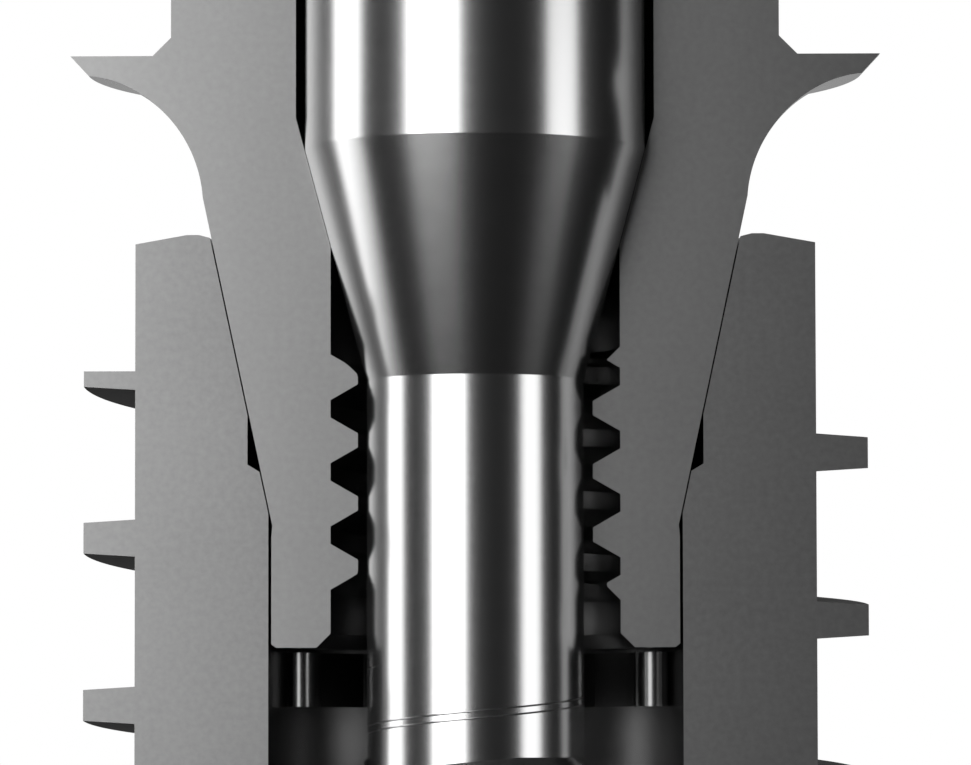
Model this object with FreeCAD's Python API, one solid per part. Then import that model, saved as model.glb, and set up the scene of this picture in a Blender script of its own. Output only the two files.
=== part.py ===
import FreeCAD, Part
import math
import os

# Dental implant in section, in mm
# The z axis runs up the implant's axis, and z = 0 is the top of its collar.
# The implant body and the abutment are cut along the plane y = 0 and keep the +y half.
# The abutment screw is whole.

# Internal cone of the implant body, and the collar round its mouth
cone_mouth_r = 1.472
cone_mouth_drop = 0.016
cone_half_angle = 12.0
mouth_bevel_width = 0.062
collar_land_width = 0.066
collar_bevel_width = 0.285
collar_bevel_drop = 0.051
bore_r = 1.146

# Relief groove in the internal cone
relief_depth = 0.988
relief_length = 0.273
relief_fade = 0.040

# Outer bone thread
bone_pitch = 0.924
bone_thread_height = 0.285
bone_root_width = 0.205
bone_flank_angle = 3.5
bone_thread_start = 0.757
bone_fin_drop = 0.463
bone_thread_fade = 0.400
bone_thread_end_gap = 0.700

# Lower end of the implant body
implant_length = 11.0
straight_length = 5.6
apex_r = 1.300
apex_round = 0.450

# Index pocket under the abutment, and the cavity under the pocket
index_top_gap = 0.020
index_height = 0.302
index_rib_r = 0.110
index_rib_set_in = 0.038
index_rib_angle = 27.0
index_flat_angle = 41.0
index_flat_spread = 28.0
cavity_height = 0.540

# Metric thread that the screw, the implant body and the abutment share
pitch = 0.350
thread_angle = 60.0
groove_r = 0.8015
thread_height = 0.1515
crest_flat = 0.078
screw_thread_gap = 0.020
nut_length = 2.150
nut_mouth_chamfer = 0.190
drill_spare = 0.450
drill_tip_angle = 118.0

# Abutment below the flange
guide_gap = 0.0165
cone_gap = 0.008
guide_length = 0.675
guide_relief_depth = 0.0055
guide_relief_height = 0.062
guide_chamfer_width = 0.026
guide_chamfer_height = 0.020
mouth_chamfer = 0.078
inner_thread_foot_gap = 0.260
inner_thread_length = 1.402
inner_crest_drop = 0.340
cone_top_z = 0.210

# Flange, ledge and post
ledge_z = 1.000
flange_r = 2.250
flange_lip_width = 0.102
flange_lip_drop = 0.110
emergence_angle = 4.0
emergence_lower_reach = 0.544
emergence_upper_reach = 0.487
post_r = 1.690
post_foot_chamfer = 0.102
post_height = 4.000
post_top_chamfer = 0.150
channel_mouth_chamfer = 0.100

# Screw and its seat in the abutment
seat_mouth_z = 0.650
seat_half_angle = 15.0
seat_gap = 0.003
head_r = 0.942
head_gap = 0.0525
head_height = 1.850
head_top_chamfer = 0.080
hex_across_flats = 1.270
hex_depth = 1.150
hex_mouth_chamfer = 0.060
shank_gap = 0.051
flare_height = 0.255
screw_tip_gap = 0.250
screw_tip_chamfer = 0.150

# Working sizes: how far a ridge's root sinks into its wall, and how finely a helix is drawn
root_sink = 0.050
helix_points = 16

# Sizes that follow from the ones above
cone_slope = math.tan(math.radians(cone_half_angle))
seat_slope = math.tan(math.radians(seat_half_angle))
bone_slope = math.tan(math.radians(bone_flank_angle))
thread_slope = math.tan(math.radians(thread_angle / 2))
core_r = cone_mouth_r + mouth_bevel_width + collar_land_width + collar_bevel_width
crest_r = groove_r - thread_height
screw_crest_r = groove_r - screw_thread_gap
shank_r = crest_r - shank_gap
guide_r = bore_r - guide_gap
channel_r = head_r + head_gap
post_top_z = ledge_z + post_height
cone_end_z = -cone_mouth_drop - (cone_mouth_r - bore_r) / cone_slope
relief_corner_r = guide_r - guide_relief_depth
guide_top_z = -cone_mouth_drop - (cone_mouth_r - cone_gap - relief_corner_r) / cone_slope
abutment_foot_z = guide_top_z - guide_length
index_top_z = abutment_foot_z - index_top_gap
index_foot_z = index_top_z - index_height
nut_top_z = index_foot_z - cavity_height
nut_foot_z = nut_top_z - nut_length
hole_foot_z = nut_foot_z - drill_spare
shank_foot_z = nut_top_z + flare_height
screw_foot_z = nut_foot_z + screw_tip_gap
head_edge_z = seat_mouth_z - (channel_r - head_r - seat_gap) / seat_slope
head_top_z = head_edge_z + head_height
apex_z = -implant_length
taper_foot_z = apex_z + apex_round
taper_slope = (core_r - apex_r) / (implant_length - apex_round - straight_length)


def at(x, y, z):
    return FreeCAD.Vector(x, y, z)


def cone_r(z):
    """Radius of the internal cone at a height."""
    return cone_mouth_r + (z + cone_mouth_drop) * cone_slope


def outer_core_r(z):
    """Radius of the implant body under its bone thread at a height."""
    return core_r - max(0, -straight_length - z) * taper_slope


def lines(points):
    """Straight edges through a list of radius and height pairs."""
    path = [at(r, 0, z) for r, z in points]
    return [Part.makeLine(a, b) for a, b in zip(path, path[1:])]


def turned(edges):
    """A solid of revolution from a closed outline in the xz plane."""
    return Part.Face(Part.Wire(edges)).revolve(at(0, 0, 0), at(0, 0, 1), 360)


def turned_points(points):
    return turned(lines(points + points[:1]))


def ridge(section, z_at_x, lead, first_angle, last_angle):
    """A right-handed helical ridge; section gives its inner and outer radius and half width at a height."""
    count = math.ceil((last_angle - first_angle) / (2 * math.pi) * helix_points)
    rails = [[], [], [], []]
    for step in range(count + 1):
        angle = first_angle + (last_angle - first_angle) * step / count
        z = z_at_x + lead * angle / (2 * math.pi)
        (inner_r, inner_half), (outer_r, outer_half) = section(z)
        corners = [(inner_r, -inner_half), (outer_r, -outer_half),
                   (outer_r, outer_half), (inner_r, inner_half)]
        for rail, (r, offset) in zip(rails, corners):
            rail.append(at(r * math.cos(angle), r * math.sin(angle), z + offset))
    edges = []
    for rail in rails:
        curve = Part.BSplineCurve()
        curve.interpolate(rail)
        edges.append(curve.toShape())
    faces = [Part.makeRuledSurface(edges[i], edges[(i + 1) % 4], 1) for i in range(4)]
    for tips in ([rail[0] for rail in rails], [rail[-1] for rail in rails]):
        faces.append(Part.Face(Part.makePolygon(tips + tips[:1])))
    shell = Part.makeShell(faces)
    shell.sewShape()
    solid = Part.Solid(shell)
    if solid.Volume < 0:
        solid.reverse()
    return solid


def half_turns(section, z_at_x, lead, low_z, high_z, whole):
    """A ridge between two heights in half turns: those behind the section plane, or all of them."""
    pieces = []
    start = math.floor((low_z - z_at_x) / lead) * 2 - 1
    end = math.ceil((high_z - z_at_x) / lead) * 2 + 1
    for half_turn in range(start, end):
        foot_z = z_at_x + lead * half_turn / 2
        reach = lead / 2
        if foot_z + reach * 2 > low_z and foot_z - reach < high_z and (whole or half_turn % 2 == 0):
            pieces.append(ridge(section, z_at_x, lead, half_turn * math.pi, (half_turn + 1) * math.pi))
    return pieces


def trimmed(pieces, envelope):
    """What of each piece lies inside an envelope."""
    return [solid for piece in pieces for solid in piece.common(envelope).Solids]


def joined(body, pieces):
    for piece in pieces:
        body = body.fuse(piece)
    return body


def inner_thread(top_z, foot_z, crest_z):
    """An internal metric thread in a bore of groove_r, bevelled at both ends."""
    def section(z):
        half = crest_flat / 2
        return (crest_r, half), (groove_r + root_sink, half + (thread_height + root_sink) * thread_slope)

    envelope = turned_points([
        (crest_r - root_sink, top_z - thread_height - root_sink),
        (groove_r + root_sink * 2, top_z + root_sink * 2),
        (groove_r + root_sink * 2, foot_z - root_sink * 2),
        (crest_r - root_sink, foot_z + thread_height + root_sink),
    ])
    return trimmed(half_turns(section, crest_z, pitch, foot_z, top_z, False), envelope)


def back_half(solid):
    """The half of a solid behind the section plane."""
    box = solid.BoundBox
    reach = box.DiagonalLength
    return solid.common(Part.makeBox(2 * reach, reach, 2 * reach, at(-reach, 0, box.ZMin - reach / 2)))


def implant_core():
    """The implant body without its threads and index pocket."""
    relief_z = -cone_mouth_drop - relief_depth
    relief_r = cone_r(relief_z)
    relief_foot_z = relief_z - relief_length
    relief_end_z = relief_foot_z - relief_fade
    tip_z = hole_foot_z - groove_r / math.tan(math.radians(drill_tip_angle / 2))
    outline = lines([
        (0, apex_z), (0, tip_z), (groove_r, hole_foot_z), (groove_r, nut_top_z), (bore_r, nut_top_z),
        (bore_r, cone_end_z), (cone_r(relief_end_z), relief_end_z), (relief_r, relief_foot_z),
        (relief_r, relief_z), (cone_mouth_r, -cone_mouth_drop), (cone_mouth_r + mouth_bevel_width, 0),
        (core_r - collar_bevel_width, 0), (core_r, -collar_bevel_drop), (core_r, -straight_length),
        (apex_r, taper_foot_z),
    ])
    bottom_r = apex_r - apex_round
    half_way = apex_round * math.sqrt(0.5)
    rounding = Part.Arc(at(apex_r, 0, taper_foot_z), at(bottom_r + half_way, 0, taper_foot_z - half_way),
                        at(bottom_r, 0, apex_z))
    outline.append(rounding.toShape())
    outline += lines([(bottom_r, apex_z), (0, apex_z)])
    return turned(outline)


def bone_thread():
    """The outer thread: flat at its start, and fading into the tapered core near the apex."""
    top_z = -bone_thread_start
    end_z = apex_z + bone_thread_end_gap

    def section(z):
        r = outer_core_r(z)
        fade = min(1, max(0, (z - end_z) / bone_thread_fade))
        tip_r = r + bone_thread_height * fade - root_sink * (1 - fade)
        deep_r = r - 2 * root_sink
        half = bone_root_width / 2
        return (deep_r, half + (r - deep_r) * bone_slope), (tip_r, half - (tip_r - r) * bone_slope)

    reach = 2 * (core_r + bone_thread_height)
    above = Part.makeBox(2 * reach, 2 * reach, 2 * bone_pitch, at(-reach, -reach, top_z))
    fins = half_turns(section, top_z - bone_fin_drop, bone_pitch, end_z, top_z, False)
    return [solid for fin in fins for solid in fin.cut(above).Solids]


def index_pocket():
    """Ribs and flats that narrow the bore under the abutment, so that a keyed piece can't turn in it."""
    pieces = []
    rib_centre_r = bore_r - index_rib_set_in
    flat_half = math.radians(index_flat_spread / 2)
    flat_width = 2 * bore_r * math.sin(flat_half)
    flat_r = bore_r * math.cos(flat_half)
    flat_depth = bore_r - flat_r + root_sink
    for side in (0, 180):
        for turn in (-1, 1):
            angle = math.radians(side + turn * index_rib_angle)
            centre = at(rib_centre_r * math.cos(angle), rib_centre_r * math.sin(angle), index_foot_z)
            pieces.append(Part.makeCylinder(index_rib_r, index_height, centre))
            flat_corner = at(flat_r, -flat_width / 2, index_foot_z)
            flat = Part.makeBox(flat_depth, flat_width, index_height, flat_corner)
            flat.rotate(at(0, 0, 0), at(0, 0, 1), side + turn * index_flat_angle)
            pieces.append(flat)
    reach = 2 * bore_r
    return trimmed(pieces, Part.makeBox(2 * reach, reach, index_height, at(-reach, 0, index_foot_z)))


def implant_body():
    mouth_foot_z = nut_top_z - nut_mouth_chamfer
    nut_mouth = turned_points([
        (0, nut_top_z), (groove_r + nut_mouth_chamfer, nut_top_z),
        (groove_r - root_sink, mouth_foot_z - root_sink), (0, mouth_foot_z),
    ])
    body = back_half(implant_core().cut(nut_mouth))
    nut_thread = inner_thread(mouth_foot_z, nut_foot_z, nut_top_z - pitch)
    return joined(body, index_pocket() + nut_thread + bone_thread())


def abutment():
    foot_z = abutment_foot_z
    thread_foot_z = foot_z + inner_thread_foot_gap
    thread_top_z = thread_foot_z + inner_thread_length
    seat_foot_z = seat_mouth_z - (channel_r - groove_r) / seat_slope
    cone_top_r = cone_r(cone_top_z) - cone_gap
    lip_r = flange_r - flange_lip_width
    lip_z = ledge_z - flange_lip_drop
    lower_reach = emergence_lower_reach * (lip_z - cone_top_z)
    upper_reach = emergence_upper_reach * (lip_r - cone_top_r)
    lean = math.radians(emergence_angle)
    emergence = Part.BezierCurve()
    emergence.setPoles([
        at(cone_top_r, 0, cone_top_z),
        at(cone_top_r + lower_reach * math.sin(lean), 0, cone_top_z + lower_reach * math.cos(lean)),
        at(lip_r - upper_reach * math.cos(lean), 0, lip_z - upper_reach * math.sin(lean)),
        at(lip_r, 0, lip_z),
    ])
    outline = lines([
        (channel_r + channel_mouth_chamfer, post_top_z), (channel_r, post_top_z - channel_mouth_chamfer),
        (channel_r, seat_mouth_z), (groove_r, seat_foot_z), (groove_r, foot_z + mouth_chamfer),
        (groove_r + mouth_chamfer, foot_z), (guide_r - guide_chamfer_width, foot_z),
        (guide_r, foot_z + guide_chamfer_height), (guide_r, guide_top_z - guide_relief_height),
        (relief_corner_r, guide_top_z), (cone_top_r, cone_top_z),
    ])
    outline.append(emergence.toShape())
    outline += lines([
        (lip_r, lip_z), (flange_r, ledge_z), (post_r + post_foot_chamfer, ledge_z),
        (post_r, ledge_z + post_foot_chamfer), (post_r, post_top_z - post_top_chamfer),
        (post_r - post_top_chamfer, post_top_z), (channel_r + channel_mouth_chamfer, post_top_z),
    ])
    thread = inner_thread(thread_top_z, thread_foot_z, thread_top_z - inner_crest_drop)
    return joined(back_half(turned(outline)), thread)


def hex_socket():
    corner_r = hex_across_flats / math.sqrt(3)
    corners = [at(corner_r * math.cos(math.radians(60 * i)), corner_r * math.sin(math.radians(60 * i)),
                  head_top_z - hex_depth) for i in range(7)]
    socket = Part.Face(Part.makePolygon(corners)).extrude(at(0, 0, hex_depth))
    mouth = turned_points([(0, head_top_z), (corner_r + hex_mouth_chamfer, head_top_z),
                           (0, head_top_z - corner_r - hex_mouth_chamfer)])
    return socket.fuse(mouth)


def screw_thread(top_z, foot_z):
    """The screw's thread, which lies midway in the grooves of the implant body's thread."""
    deep_r = shank_r - root_sink
    high_r = screw_crest_r + root_sink

    def section(z):
        middle_half = (pitch - crest_flat) / 2 - screw_thread_gap
        return ((deep_r, middle_half + (crest_r - deep_r) * thread_slope),
                (high_r, middle_half + (crest_r - high_r) * thread_slope))

    flare_r = screw_crest_r - shank_r
    envelope = turned_points([
        (deep_r - root_sink, top_z), (shank_r, top_z), (screw_crest_r, top_z - flare_r),
        (screw_crest_r, foot_z + screw_tip_chamfer), (screw_crest_r - screw_tip_chamfer, foot_z),
        (deep_r - root_sink, foot_z),
    ])
    return trimmed(half_turns(section, nut_top_z - pitch / 2, pitch, foot_z, top_z, True), envelope)


def abutment_screw():
    cone_foot_z = head_edge_z - (head_r - shank_r) / seat_slope
    tip_r = screw_crest_r - screw_tip_chamfer
    blank = turned_points([
        (0, screw_foot_z), (min(tip_r, shank_r), screw_foot_z), (shank_r, screw_foot_z + screw_tip_chamfer),
        (shank_r, cone_foot_z), (head_r, head_edge_z), (head_r, head_top_z - head_top_chamfer),
        (head_r - head_top_chamfer, head_top_z), (0, head_top_z),
    ])
    return joined(blank.cut(hex_socket()), screw_thread(shank_foot_z, screw_foot_z))


def save(name, shape):
    solid = shape.Solids[0]
    print(name, "solids", len(shape.Solids), "valid", solid.isValid(), "volume", round(solid.Volume, 4))
    shape.exportStep(os.path.join("parts", name + ".step"))


os.makedirs("parts", exist_ok=True)
save("implant_body", implant_body())
save("abutment", abutment())
save("abutment_screw", abutment_screw())
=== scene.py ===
import bmesh
import bpy
import math
from mathutils import Matrix, Vector


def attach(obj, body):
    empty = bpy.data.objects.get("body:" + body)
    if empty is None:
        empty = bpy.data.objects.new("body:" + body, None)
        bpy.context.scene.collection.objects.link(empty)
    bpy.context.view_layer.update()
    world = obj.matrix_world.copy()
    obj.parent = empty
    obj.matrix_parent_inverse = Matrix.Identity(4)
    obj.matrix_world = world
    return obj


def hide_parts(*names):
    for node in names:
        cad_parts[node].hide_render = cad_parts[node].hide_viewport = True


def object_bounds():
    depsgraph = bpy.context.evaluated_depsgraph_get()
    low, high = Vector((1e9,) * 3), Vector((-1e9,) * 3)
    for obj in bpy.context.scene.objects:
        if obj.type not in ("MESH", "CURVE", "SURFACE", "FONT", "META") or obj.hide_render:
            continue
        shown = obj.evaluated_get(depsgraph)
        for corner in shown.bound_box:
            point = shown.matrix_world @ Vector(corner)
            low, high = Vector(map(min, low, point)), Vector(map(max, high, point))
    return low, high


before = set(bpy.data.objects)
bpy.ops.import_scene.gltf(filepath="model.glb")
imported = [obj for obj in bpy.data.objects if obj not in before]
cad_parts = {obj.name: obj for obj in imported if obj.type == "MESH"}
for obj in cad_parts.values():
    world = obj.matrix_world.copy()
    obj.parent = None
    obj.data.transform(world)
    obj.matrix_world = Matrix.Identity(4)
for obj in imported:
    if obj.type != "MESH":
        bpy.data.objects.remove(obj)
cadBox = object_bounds()
print("frame loaded")

mm = 0.001  # every size below is in millimetres


# One wire of a shader tree: an expression on wires adds its Math nodes
class Wire:
    def __init__(self, graph, socket):
        self.graph = graph
        self.socket = socket

    def op(self, operation, *values):
        return self.graph.make("ShaderNodeMath", {"operation": operation}, dict(enumerate(values)))

    def __add__(self, other):
        return self.op("ADD", self, other)

    def __radd__(self, other):
        return self.op("ADD", other, self)

    def __sub__(self, other):
        return self.op("SUBTRACT", self, other)

    def __rsub__(self, other):
        return self.op("SUBTRACT", other, self)

    def __mul__(self, other):
        return self.op("MULTIPLY", self, other)

    def __rmul__(self, other):
        return self.op("MULTIPLY", other, self)

    def __truediv__(self, other):
        return self.op("DIVIDE", self, other)

    # A smooth step from 0 at low to 1 at high
    def between(self, low, high):
        inputs = {"Value": self, "From Min": low, "From Max": high}
        return self.graph.make("ShaderNodeMapRange", {"interpolation_type": "SMOOTHSTEP"}, inputs)


# A shader tree, and the one method that makes its nodes
class Graph:
    def __init__(self, tree):
        self.tree = tree
        tree.nodes.clear()

    def make(self, kind, settings=None, inputs=None, out=0):
        node = self.tree.nodes.new(kind)
        for name, value in (settings or {}).items():
            setattr(node, name, value)
        for name, value in (inputs or {}).items():
            if isinstance(value, Wire):
                self.tree.links.new(value.socket, node.inputs[name])
            else:
                node.inputs[name].default_value = value
        return Wire(self, node.outputs[out]) if node.outputs else None

    # The Mix node uses the names A, B and Result once for each kind of value, so its colours go by number
    def mixColour(self, factor, first, second):
        inputs = {"Factor": factor, 6: first, 7: second}
        return self.make("ShaderNodeMix", {"data_type": "RGBA"}, inputs, out=2)

    def scaled(self, vector, factor):
        return self.make("ShaderNodeVectorMath", {"operation": "MULTIPLY"}, {0: vector, 1: factor})

    def placeInMm(self):
        place = self.make("ShaderNodeTexCoord", out="Object")
        return self.scaled(place, (1 / mm, 1 / mm, 1 / mm))

    def noise(self, vector, scale, detail=2.0):
        return self.make("ShaderNodeTexNoise", {}, {"Vector": vector, "Scale": scale, "Detail": detail})

    def bump(self, height, depth):
        inputs = {"Height": height, "Strength": 1.0, "Distance": depth * mm}
        return self.make("ShaderNodeBump", {}, inputs)


def grey(value):
    return (value, value, value, 1)


def startMaterial(name):
    material = bpy.data.materials.new(name)
    material.use_nodes = True
    return material, Graph(material.node_tree)


# A metal whose tone, roughness and relief follow a pattern round 0.5; edge is its brightness seen edge on.
# The paint function gives the pattern, the shade from dark to light, and the share the tone swings by
def metal(name, looks, paint):
    material, graph = startMaterial(name)
    pattern, shade, swing = paint(graph, looks)
    dark, light = grey(looks["tone"] * (1 - swing)), grey(looks["tone"] * (1 + swing))
    inputs = {
        "Base Color": graph.mixColour(shade, dark, light),
        "Metallic": 1.0,
        "Roughness": looks["roughness"] + (pattern - 0.5) * looks["roughSwing"],
        "Specular Tint": grey(looks["edge"]),
        "Normal": graph.bump(pattern, looks["depth"]),
    }
    surface = graph.make("ShaderNodeBsdfPrincipled", {}, inputs)
    graph.make("ShaderNodeOutputMaterial", {}, {"Surface": surface})
    print("material", name)
    return material


# Cut faces: ground flat, with a fine even grain and faint clouds
sectionLooks = {
    "tone": 0.365, "edge": 1.0, "roughness": 0.35, "roughSwing": 0.05, "depth": 0.00004,
    "grainScale": 26.0, "grainDetail": 3.0, "grainTone": 0.10, "cloudScale": 1.3, "cloudTone": 0.05,
}

# The implant body's cut face is a shade darker and coarser than the abutment's
bodySectionLooks = {**sectionLooks, "tone": 0.325, "grainTone": 0.15, "cloudTone": 0.06}


def paintSection(graph, looks):
    place = graph.placeInMm()
    grain = graph.noise(place, looks["grainScale"], looks["grainDetail"])
    cloud = graph.noise(place, looks["cloudScale"])
    swing = looks["grainTone"] + looks["cloudTone"]
    return grain, (grain * looks["grainTone"] + cloud * looks["cloudTone"]) / swing, swing


# Turned outer faces: fine rings left by the lathe tool
turnedLooks = {
    "tone": 0.50, "edge": 1.0, "roughness": 0.26, "roughSwing": 0.08, "depth": 0.00012,
    "ringScale": 34.0, "ringStretch": (0.4, 0.4, 1.0), "ringTone": 0.06,
}

# Bores and threads: smooth, and given a darker tone that is painted shade for the inside
boredShadeLooks = {
    **turnedLooks, "tone": 0.29, "roughness": 0.25, "roughSwing": 0.02, "depth": 0.00001,
    "ringScale": 20.0, "ringTone": 0.05,
}

# Broached walls of the index pocket: nearly black, which is painted shade in the pocket
broachedShadeLooks = {**boredShadeLooks, "tone": 0.05, "roughness": 0.24}

# The screw: polished until the rings hardly show
polishedLooks = {
    **turnedLooks, "tone": 0.74, "roughness": 0.22, "roughSwing": 0.012, "depth": 0.000006,
    "ringScale": 12.0, "ringTone": 0.015,
}


def paintRings(graph, looks):
    ring = graph.noise(graph.scaled(graph.placeInMm(), looks["ringStretch"]), looks["ringScale"])
    return ring, ring, looks["ringTone"]


# Outside of the implant body: blasted to a dull grain for the bone to hold, and dark edge on
# Its dark tone is partly the blasted metal's own grey and partly painted shade on the thread flanks
blastedAndShadedLooks = {
    "tone": 0.30, "edge": 0.1, "roughness": 0.48, "roughSwing": 0.12, "depth": 0.0022,
    "pitScale": 22.0, "pitDetail": 4.0, "pitTone": 0.16,
}


def paintPits(graph, looks):
    pits = graph.noise(graph.placeInMm(), looks["pitScale"], looks["pitDetail"])
    return pits, pits, looks["pitTone"]


section = metal("groundSection", sectionLooks, paintSection)
bodySection = metal("groundBodySection", bodySectionLooks, paintSection)
turned = metal("turnedTitanium", turnedLooks, paintRings)
# Painted shade: bores and threads get a darker tone than the outside
boredShade = metal("boredTitaniumShade", boredShadeLooks, paintRings)
# Painted shade: the index pocket's walls are made nearly black
broachedShade = metal("broachedTitaniumShade", broachedShadeLooks, paintRings)
polished = metal("polishedTitanium", polishedLooks, paintRings)
# Partly painted shade: the outside's dark tone also stands in for shadow on the thread flanks
blastedAndShaded = metal("blastedTitaniumAndShade", blastedAndShadedLooks, paintPits)

# Turned pieces are lofted from outlines, one at each angle round the axis
lofting = {"step": 1.0, "smoothLimit": math.radians(7), "weldGap": 0.00008}

# How far the middle of a face may lie past a limit and still get the finish of that side
margins = {"outside": 0.02, "mouth": 0.01, "flat": 0.005}


def evenAngles(first, last, step):
    count = round((last - first) / step)
    return [first + (last - first) * i / count for i in range(count + 1)]


# Radius and height pairs down a thread at one angle; points of the spare turns are held at its ends
def threadPoints(angle, thread):
    turn = angle / 360
    spareBelow, spareAbove = 2, 1
    first = math.floor((thread["low"] - thread["zAtX"]) / thread["lead"]) - spareBelow
    last = math.ceil((thread["high"] - thread["zAtX"]) / thread["lead"]) + spareAbove
    points = []
    for count in range(last, first - 1, -1):
        for offset in reversed(thread["offsets"]):
            middle = thread["zAtX"] + thread["lead"] * (count + turn)
            z = min(thread["high"], max(thread["low"], middle + offset * thread["lead"]))
            away = (z - thread["zAtX"]) / thread["lead"] - turn
            away = abs(away - round(away)) * thread["lead"]
            points.append((thread["radius"](z, away), z))
    return points


def atAngle(angle, r, z, turn=None):
    lean = math.radians(angle if turn is None else turn)
    return (r * math.cos(lean) * mm, r * math.sin(lean) * mm, z * mm)


# A piece from its outline at each angle; with a cut finish it is a closed outline, and both ends get a face
def loft(name, angles, outline, finishes, finishAt=None, cut=None):
    mesh = bmesh.new()
    columns = []
    for angle in angles:
        columns.append([mesh.verts.new(atAngle(angle, *point)) for point in outline(angle)])
    for left, right in zip(columns, columns[1:]):
        count = len(left)
        for i in range(count if cut else count - 1):
            j = (i + 1) % count
            mesh.faces.new((left[i], left[j], right[j], right[i]))
    if cut:
        for column in (columns[0], columns[-1]):
            mesh.faces.new(column).material_index = finishes.index(cut)
    bmesh.ops.remove_doubles(mesh, verts=mesh.verts, dist=lofting["weldGap"] * mm)
    bmesh.ops.dissolve_degenerate(mesh, edges=mesh.edges, dist=lofting["weldGap"] * mm)
    bmesh.ops.triangulate(mesh, faces=[face for face in mesh.faces if len(face.verts) > 4])
    bmesh.ops.recalc_face_normals(mesh, faces=mesh.faces)
    if finishAt:
        for face in mesh.faces:
            if face.material_index == 0:
                middle = face.calc_center_median() / mm
                face.material_index = finishes.index(finishAt(math.hypot(middle.x, middle.y), middle.z))
    data = bpy.data.meshes.new(name)
    mesh.to_mesh(data)
    mesh.free()
    for finish in finishes:
        data.materials.append(finish)
    data.polygons.foreach_set("use_smooth", [True] * len(data.polygons))
    data.set_sharp_from_angle(angle=lofting["smoothLimit"])
    piece = bpy.data.objects.new(name, data)
    bpy.context.scene.collection.objects.link(piece)
    print("piece", name, "faces", len(data.polygons))
    return piece


def settle(piece, node, body):
    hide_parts(node)
    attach(piece, body)


# The metric thread that all three pieces share
metric = {
    "pitch": 0.350, "flankSlope": math.tan(math.radians(30)), "grooveR": 0.8015, "height": 0.1515,
    "crestFlat": 0.078, "gap": 0.020,
}
crestR = metric["grooveR"] - metric["height"]


# Offsets over one turn as shares of the pitch: both sides of a tooth, with a few more between these stops
def toothOffsets(rootHalf, crestHalf, inner=4):
    stops = [-0.5] + [s / metric["pitch"] for s in (-rootHalf, -crestHalf, crestHalf, rootHalf)] + [0.5]
    shares = []
    for first, last in zip(stops, stops[1:]):
        shares += [first + (last - first) * i / inner for i in range(inner)]
    return shares


def innerThread(high, low, zAtX):
    crestHalf = metric["crestFlat"] / 2
    rootHalf = crestHalf + metric["height"] * metric["flankSlope"]

    def radius(z, away):
        tooth = crestR + max(0, away - crestHalf) / metric["flankSlope"]
        bevel = metric["grooveR"] - min(high - z, z - low)
        return min(metric["grooveR"], max(tooth, bevel))

    return {"high": high, "low": low, "zAtX": zAtX, "lead": metric["pitch"],
            "offsets": toothOffsets(rootHalf, crestHalf), "radius": radius}


# Implant body: collar, internal cone with its relief groove, bore, index pocket, nut thread, bone thread
body = {
    "coneMouthR": 1.472, "coneMouthDrop": 0.016, "coneSlope": math.tan(math.radians(12)),
    "mouthBevel": 0.062, "collarLand": 0.066, "collarBevel": 0.285, "collarBevelDrop": 0.051,
    "reliefDepth": 0.988, "reliefLength": 0.273, "reliefFade": 0.040, "boreR": 1.146, "cavityHeight": 0.540,
    "nutChamfer": 0.190, "nutLength": 2.150, "drillSpare": 0.450, "drillTip": 59.0,
    "straight": 5.6, "apexR": 1.300, "apexRound": 0.450, "apexSteps": 12, "length": 11.0,
}
bone = {
    "lead": 0.924, "height": 0.285, "rootHalf": 0.1025, "flankSlope": math.tan(math.radians(3.5)),
    "start": -0.757, "finDrop": 0.463, "fade": 0.400, "endGap": 0.700, "sink": 0.050, "valley": 0.3,
}
index = {
    "top": -2.3106, "height": 0.302, "ribR": 0.110, "ribSetIn": 0.038, "ribAngle": 27.0,
    "flatAngle": 41.0, "flatHalf": math.radians(14), "fineFrom": 21, "fineTo": 33, "fineStep": 0.25,
}

coreR = body["coneMouthR"] + body["mouthBevel"] + body["collarLand"] + body["collarBevel"]
indexFoot = index["top"] - index["height"]
nutTop = indexFoot - body["cavityHeight"]
nutFoot = nutTop - body["nutLength"]


def coneR(z):
    return body["coneMouthR"] + (z + body["coneMouthDrop"]) * body["coneSlope"]


def outerCoreR(z):
    taperLength = body["length"] - body["apexRound"] - body["straight"]
    return coreR - max(0, -body["straight"] - z) * (coreR - body["apexR"]) / taperLength


def boneThread():
    end = -body["length"] + bone["endGap"]

    def radius(z, away):
        fade = min(1, max(0, (z - end) / bone["fade"]))
        tall = bone["height"] * fade - bone["sink"] * (1 - fade)
        fin = min(tall, (bone["rootHalf"] - away) / bone["flankSlope"])
        return outerCoreR(z) + max(0, fin)

    tipHalf = bone["rootHalf"] - bone["height"] * bone["flankSlope"]
    stops = [s / bone["lead"] for s in (-bone["rootHalf"], -tipHalf, tipHalf, bone["rootHalf"])]
    offsets = [-0.5, -bone["valley"]] + stops + [bone["valley"]]
    return {"high": bone["start"], "low": end, "zAtX": bone["start"] - bone["finDrop"],
            "lead": bone["lead"], "offsets": offsets, "radius": radius}


# The index pocket's wall at one angle: its radius and true angle, because a rib bulges past its own foot
def pocketWall(angle):
    boreR, ribR = body["boreR"], index["ribR"]
    ribCentre = boreR - index["ribSetIn"]
    footHalf = math.acos((ribCentre ** 2 + boreR ** 2 - ribR ** 2) / (2 * ribCentre * boreR))
    around = math.acos((ribCentre ** 2 + ribR ** 2 - boreR ** 2) / (2 * ribCentre * ribR))
    r, turn = boreR, math.radians(min(angle, 180 - angle))
    ribTurn = math.radians(index["ribAngle"])
    share = (turn - ribTurn) / footHalf
    if abs(share) < 1:
        out = ribCentre - ribR * math.cos(around * share)
        along = ribR * math.sin(around * share)
        r, turn = math.hypot(out, along), ribTurn + math.atan2(along, out)
    fromFlat = turn - math.radians(index["flatAngle"])
    if abs(fromFlat) < index["flatHalf"]:
        r = min(r, boreR * math.cos(index["flatHalf"]) / math.cos(fromFlat))
    turn = math.degrees(turn)
    return r, turn if angle <= 90 else 180 - turn


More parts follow.
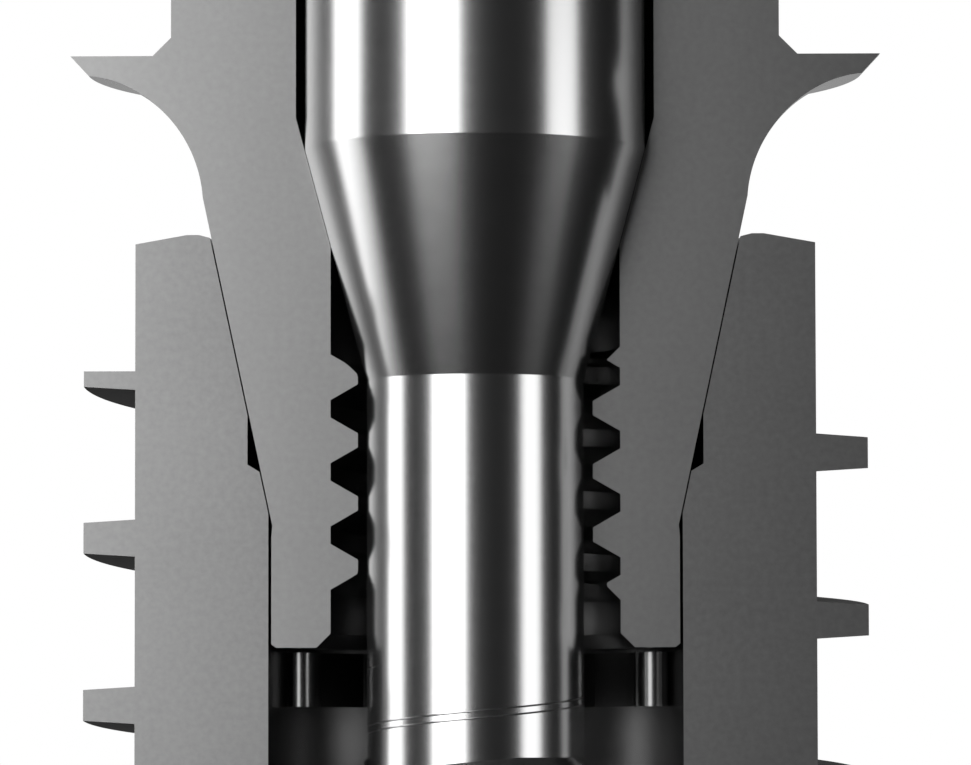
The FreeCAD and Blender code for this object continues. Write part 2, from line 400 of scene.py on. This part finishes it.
def bodyOutline(angle):
    boreR = body["boreR"]
    groove = metric["grooveR"]
    relief = -body["coneMouthDrop"] - body["reliefDepth"]
    reliefFoot = relief - body["reliefLength"]
    reliefEnd = reliefFoot - body["reliefFade"]
    coneEnd = -body["coneMouthDrop"] - (body["coneMouthR"] - boreR) / body["coneSlope"]
    holeFoot = nutFoot - body["drillSpare"]
    taperFoot = -body["length"] + body["apexRound"]
    pocketR, turn = pocketWall(angle)
    points = [
        (coreR - body["collarBevel"], 0), (body["coneMouthR"] + body["mouthBevel"], 0),
        (body["coneMouthR"], -body["coneMouthDrop"]), (coneR(relief), relief),
        (coneR(relief), reliefFoot), (coneR(reliefEnd), reliefEnd), (boreR, coneEnd), (boreR, index["top"]),
        (pocketR, index["top"], turn), (pocketR, indexFoot, turn), (boreR, indexFoot), (boreR, nutTop),
        (groove + body["nutChamfer"], nutTop),
    ]
    points += threadPoints(angle, nutThread)
    points += [(groove, holeFoot), (0, holeFoot - groove / math.tan(math.radians(body["drillTip"]))),
               (0, -body["length"])]
    for i in range(body["apexSteps"] + 1):
        lean = math.radians(90 * i / body["apexSteps"])
        points.append((body["apexR"] - body["apexRound"] * (1 - math.sin(lean)),
                       taperFoot - body["apexRound"] * math.cos(lean)))
    points += threadPoints(angle, outerThread)[::-1]
    points += [(coreR, bone["start"]), (coreR, -body["collarBevelDrop"])]
    return points


# A quarter turn in even steps, finer ones round the rib, and its mirror image
def bodyAngles():
    first, last = index["fineFrom"], index["fineTo"]
    quarter = evenAngles(0, first, lofting["step"])
    quarter += evenAngles(first, last, index["fineStep"])[1:]
    quarter += evenAngles(last, 90, lofting["step"])[1:]
    return quarter + [180 - angle for angle in reversed(quarter[:-1])]


def bodyFinish(r, z):
    if r > outerCoreR(z) - margins["outside"] and z < -body["collarBevelDrop"]:
        return blastedAndShaded
    flatR = body["boreR"] * math.cos(index["flatHalf"]) - margins["flat"]
    if indexFoot < z < index["top"] and r > flatR:
        return broachedShade
    mouthR, mouthZ = body["coneMouthR"] + margins["mouth"], -body["coneMouthDrop"] - margins["mouth"]
    return boredShade if r <= mouthR and z <= mouthZ else turned


nutThread = innerThread(nutTop - body["nutChamfer"], nutFoot, nutTop - metric["pitch"])
outerThread = boneThread()
bodyFinishes = [turned, bodySection, blastedAndShaded, boredShade, broachedShade]
implant = loft("implantHalf", bodyAngles(), bodyOutline, bodyFinishes, bodyFinish, cut=bodySection)
settle(implant, "implant_body", "implant")

# Abutment: post, crown ledge, sharp flange, emergence curve, cone, guide and the inner thread
post = {
    "ledge": 1.000, "flangeR": 2.250, "lipWidth": 0.102, "lipDrop": 0.110, "lean": 4.0,
    "lowerReach": 0.544, "upperReach": 0.487, "postR": 1.690, "footChamfer": 0.102, "height": 4.000,
    "topChamfer": 0.150, "channelChamfer": 0.100, "channelR": 0.9945, "seatMouth": 0.650,
    "seatSlope": math.tan(math.radians(15)), "coneGap": 0.008, "coneTop": 0.210, "guideR": 1.1295,
    "guideLength": 0.675, "guideReliefDepth": 0.0055, "guideReliefHeight": 0.062,
    "guideChamfer": (0.026, 0.020), "mouthChamfer": 0.078, "threadFootGap": 0.260, "threadLength": 1.402,
    "crestDrop": 0.340, "curveSteps": 40,
}
guideCornerR = post["guideR"] - post["guideReliefDepth"]
coneDrop = (body["coneMouthR"] - post["coneGap"] - guideCornerR) / body["coneSlope"]
guideTop = -body["coneMouthDrop"] - coneDrop
foot = guideTop - post["guideLength"]
threadFoot = foot + post["threadFootGap"]
threadTop = threadFoot + post["threadLength"]
postThread = innerThread(threadTop, threadFoot, threadTop - post["crestDrop"])


# The concave curve from the cone's top to the flange's lip, a Bezier curve of four poles
def emergence():
    lipR, lipZ = post["flangeR"] - post["lipWidth"], post["ledge"] - post["lipDrop"]
    coneTopR = coneR(post["coneTop"]) - post["coneGap"]
    lean = math.radians(post["lean"])
    lower = post["lowerReach"] * (lipZ - post["coneTop"])
    upper = post["upperReach"] * (lipR - coneTopR)
    poles = [Vector((coneTopR, post["coneTop"])),
             Vector((coneTopR + lower * math.sin(lean), post["coneTop"] + lower * math.cos(lean))),
             Vector((lipR - upper * math.cos(lean), lipZ - upper * math.sin(lean))), Vector((lipR, lipZ))]
    points = []
    for i in range(post["curveSteps"] + 1):
        t = i / post["curveSteps"]
        shares = ((1 - t) ** 3, 3 * t * (1 - t) ** 2, 3 * t * t * (1 - t), t ** 3)
        points.append(tuple(sum((pole * share for pole, share in zip(poles, shares)), Vector((0, 0)))))
    return points


def abutmentOutline(angle):
    groove = metric["grooveR"]
    postTop = post["ledge"] + post["height"]
    seatFoot = post["seatMouth"] - (post["channelR"] - groove) / post["seatSlope"]
    chamferWidth, chamferHeight = post["guideChamfer"]
    points = [(post["channelR"] + post["channelChamfer"], postTop),
              (post["channelR"], postTop - post["channelChamfer"]), (post["channelR"], post["seatMouth"]),
              (groove, seatFoot)]
    points += threadPoints(angle, postThread)
    points += [(groove, foot + post["mouthChamfer"]), (groove + post["mouthChamfer"], foot),
               (post["guideR"] - chamferWidth, foot), (post["guideR"], foot + chamferHeight),
               (post["guideR"], guideTop - post["guideReliefHeight"]), (guideCornerR, guideTop)]
    points += emergence()
    points += [(post["flangeR"], post["ledge"]), (post["postR"] + post["footChamfer"], post["ledge"]),
               (post["postR"], post["ledge"] + post["footChamfer"]),
               (post["postR"], postTop - post["topChamfer"]), (post["postR"] - post["topChamfer"], postTop)]
    return points


def abutmentFinish(r, z):
    outsideR = post["channelR"] + post["channelChamfer"] + margins["outside"]
    return turned if z > post["coneTop"] and r > outsideR else boredShade


abutment = loft("abutmentHalf", evenAngles(0, 180, lofting["step"]), abutmentOutline,
                [turned, section, boredShade], abutmentFinish, cut=section)
settle(abutment, "abutment", "abutment_half")

# Abutment screw: socket head, conical seat, waisted shank and threaded end
screw = {
    "headR": 0.942, "headEdge": 0.4653, "headTop": 2.3153, "topChamfer": 0.080, "hexAcross": 1.270,
    "hexDepth": 1.150, "hexChamfer": 0.060, "shankR": 0.599, "flare": 0.255, "tipGap": 0.250,
    "tipChamfer": 0.150,
}
screwCrestR = metric["grooveR"] - metric["gap"]
screwFoot = nutFoot + screw["tipGap"]
shankFoot = nutTop + screw["flare"]

# Two hair lines that the thread cutter left round the shank as it ran out
hairs = {"start": -2.392, "front": -2.666, "apart": 0.0385, "width": 0.010, "depth": 0.007, "fade": 0.012}


def screwThread():
    middleHalf = (metric["pitch"] - metric["crestFlat"]) / 2 - metric["gap"]
    crestHalf = middleHalf - (screwCrestR - crestR) * metric["flankSlope"]
    rootHalf = middleHalf + (crestR - screw["shankR"]) * metric["flankSlope"]

    def radius(z, away):
        ridge = crestR + (middleHalf - away) / metric["flankSlope"]
        flare = screw["shankR"] + shankFoot - z
        tip = screwCrestR - screw["tipChamfer"] + z - screwFoot
        return max(screw["shankR"], min(ridge, screwCrestR, flare, tip))

    return {"high": shankFoot, "low": screwFoot, "zAtX": nutTop - metric["pitch"] / 2,
            "lead": metric["pitch"], "offsets": toothOffsets(rootHalf, crestHalf), "radius": radius}


def runOut():
    half = hairs["apart"] / 2
    reach = hairs["width"] / 2

    def radius(z, away):
        fade = min(1, max(0, (hairs["start"] - z) / hairs["fade"]))
        return screw["shankR"] - hairs["depth"] * fade * max(0, 1 - abs(away - half) / reach)

    stops = [-half - reach, -half, -half + reach, half - reach, half, half + reach]
    offsets = [stop / metric["pitch"] for stop in stops]
    return {"high": hairs["start"], "low": shankFoot, "zAtX": hairs["front"] + metric["pitch"] / 4,
            "lead": metric["pitch"], "offsets": offsets, "radius": radius}


screwTeeth = screwThread()
hairLines = runOut()


def screwOutline(angle):
    top = screw["headTop"]
    cornerR = screw["hexAcross"] / math.sqrt(3)
    mouthR = cornerR + screw["hexChamfer"]
    wallR = screw["hexAcross"] / 2 / math.cos(math.radians(angle % 60 - 30))
    coneFoot = screw["headEdge"] - (screw["headR"] - screw["shankR"]) / post["seatSlope"]
    points = [(0, top - screw["hexDepth"]), (wallR, top - screw["hexDepth"]), (wallR, top - mouthR + wallR),
              (mouthR, top), (screw["headR"] - screw["topChamfer"], top),
              (screw["headR"], top - screw["topChamfer"]), (screw["headR"], screw["headEdge"]),
              (screw["shankR"], coneFoot)]
    points += threadPoints(angle, hairLines) + threadPoints(angle, screwTeeth)
    points.append((0, screwFoot))
    return points


abutmentScrew = loft("polishedScrew", evenAngles(0, 360, lofting["step"]), screwOutline, [polished])
settle(abutmentScrew, "abutment_screw", "screw")

# Camera: a long lens close by, a little below the collar and looking up
view = {
    "distance": 32.0, "across": 0.057, "turn": 1.0, "height": -2.872, "tilt": 3.66, "roll": -0.1,
    "lens": 214.7, "sensor": 36.0, "near": 1.0, "far": 1000.0,
}


def makeCamera():
    data = bpy.data.cameras.new("camera")
    data.lens = view["lens"]
    data.sensor_width = view["sensor"]
    data.clip_start = view["near"] * mm
    data.clip_end = view["far"] * mm
    camera = bpy.data.objects.new("camera", data)
    camera.matrix_world = (
        Matrix.Translation(Vector((view["across"], 0, view["height"])) * mm)
        @ Matrix.Rotation(math.radians(view["turn"]), 4, "Z")
        @ Matrix.Translation(Vector((0, -view["distance"] * mm, 0)))
        @ Matrix.Rotation(math.radians(90 + view["tilt"]), 4, "X")
        @ Matrix.Rotation(math.radians(view["roll"]), 4, "Z")
    )
    bpy.context.scene.collection.objects.link(camera)
    bpy.context.scene.camera = camera


makeCamera()
print("camera set")

# Soft boxes stand round the axis. 0 degrees is towards the camera and plus to its right; low and high are
# the heights of a box's edges, in degrees above the collar
softBoxes = {
    "leftBox": {"from": -109, "to": -81.5, "away": 45, "low": -15, "high": 40, "strength": 1.9},
    "keyBox": {"from": -45, "to": -9.5, "away": 23, "low": -17, "high": 40, "strength": 2.6},
    "rightBox": {"from": 50.5, "to": 73.5, "away": 45, "low": -14, "high": 11, "strength": 1.6},
    "rearRightBox": {"from": 112, "to": 150, "away": 45, "low": 30, "high": 60, "strength": 0.8},
    "rearLeftBox": {"from": -160, "to": -120, "away": 45, "low": 30, "high": 60, "strength": 0.8},
}


def makeSoftBox(name, box):
    middle = math.radians((box["from"] + box["to"]) / 2)
    half = math.radians((box["to"] - box["from"]) / 2)
    low, high = (box["away"] * math.tan(math.radians(box[key])) for key in ("low", "high"))
    data = bpy.data.lights.new(name, "AREA")
    data.shape = "RECTANGLE"
    data.size = 2 * box["away"] * math.tan(half) * mm
    data.size_y = (high - low) * mm
    data.energy = box["strength"] * math.pi * data.size * data.size_y
    lamp = bpy.data.objects.new(name, data)
    towards = Vector((math.sin(middle), -math.cos(middle), 0))
    lamp.location = (towards * box["away"] + Vector((0, 0, (low + high) / 2))) * mm
    lamp.rotation_euler = towards.to_track_quat("Z", "Y").to_euler()
    lamp.visible_camera = False
    bpy.context.scene.collection.objects.link(lamp)


for name, box in softBoxes.items():
    makeSoftBox(name, box)

# The world is white to the camera. Reflections see a room that is nearly black before the part and grey
# behind it, and all other light is an even fill
room = {"seen": 1.0, "ahead": 0.004, "behind": 0.42, "fill": 0.55, "turnFrom": 0.35, "turnTo": 0.85}


def makeWorld():
    world = bpy.data.worlds.new("room")
    world.use_nodes = True
    bpy.context.scene.world = world
    graph = Graph(world.node_tree)
    cameraRay = graph.make("ShaderNodeLightPath", out="Is Camera Ray")
    glossyRay = graph.make("ShaderNodeLightPath", out="Is Glossy Ray")
    direction = graph.make("ShaderNodeTexCoord", out="Generated")
    depth = graph.make("ShaderNodeSeparateXYZ", {}, {"Vector": direction}, out="Y")
    gain = room["behind"] - room["ahead"]
    reflected = room["ahead"] + depth.between(room["turnFrom"], room["turnTo"]) * gain
    unseen = glossyRay * (reflected - room["fill"]) + room["fill"]
    level = cameraRay * room["seen"] + (1 - cameraRay) * unseen
    light = graph.make("ShaderNodeBackground", {}, {"Color": (1, 1, 1, 1), "Strength": level})
    graph.make("ShaderNodeOutputWorld", {}, {"Surface": light})


makeWorld()

# Floor: a plain pale sheet under the apex
floorLooks = {"size": 600.0, "drop": 0.02, "tone": 0.80}


def makeFloor():
    data = bpy.data.meshes.new("floor")
    half = floorLooks["size"] / 2 * mm
    z = cadBox[0].z - floorLooks["drop"] * mm
    corners = [(-half, -half, z), (half, -half, z), (half, half, z), (-half, half, z)]
    data.from_pydata(corners, [], [(0, 1, 2, 3)])
    floor = bpy.data.objects.new("floor", data)
    bpy.context.scene.collection.objects.link(floor)
    material, graph = startMaterial("paleFloor")
    surface = graph.make("ShaderNodeBsdfDiffuse", {}, {"Color": grey(floorLooks["tone"])})
    graph.make("ShaderNodeOutputMaterial", {}, {"Surface": surface})
    data.materials.append(material)
    floor.visible_glossy = False


makeFloor()
print("stage set")

bpy.context.scene.view_settings.view_transform = "Standard"
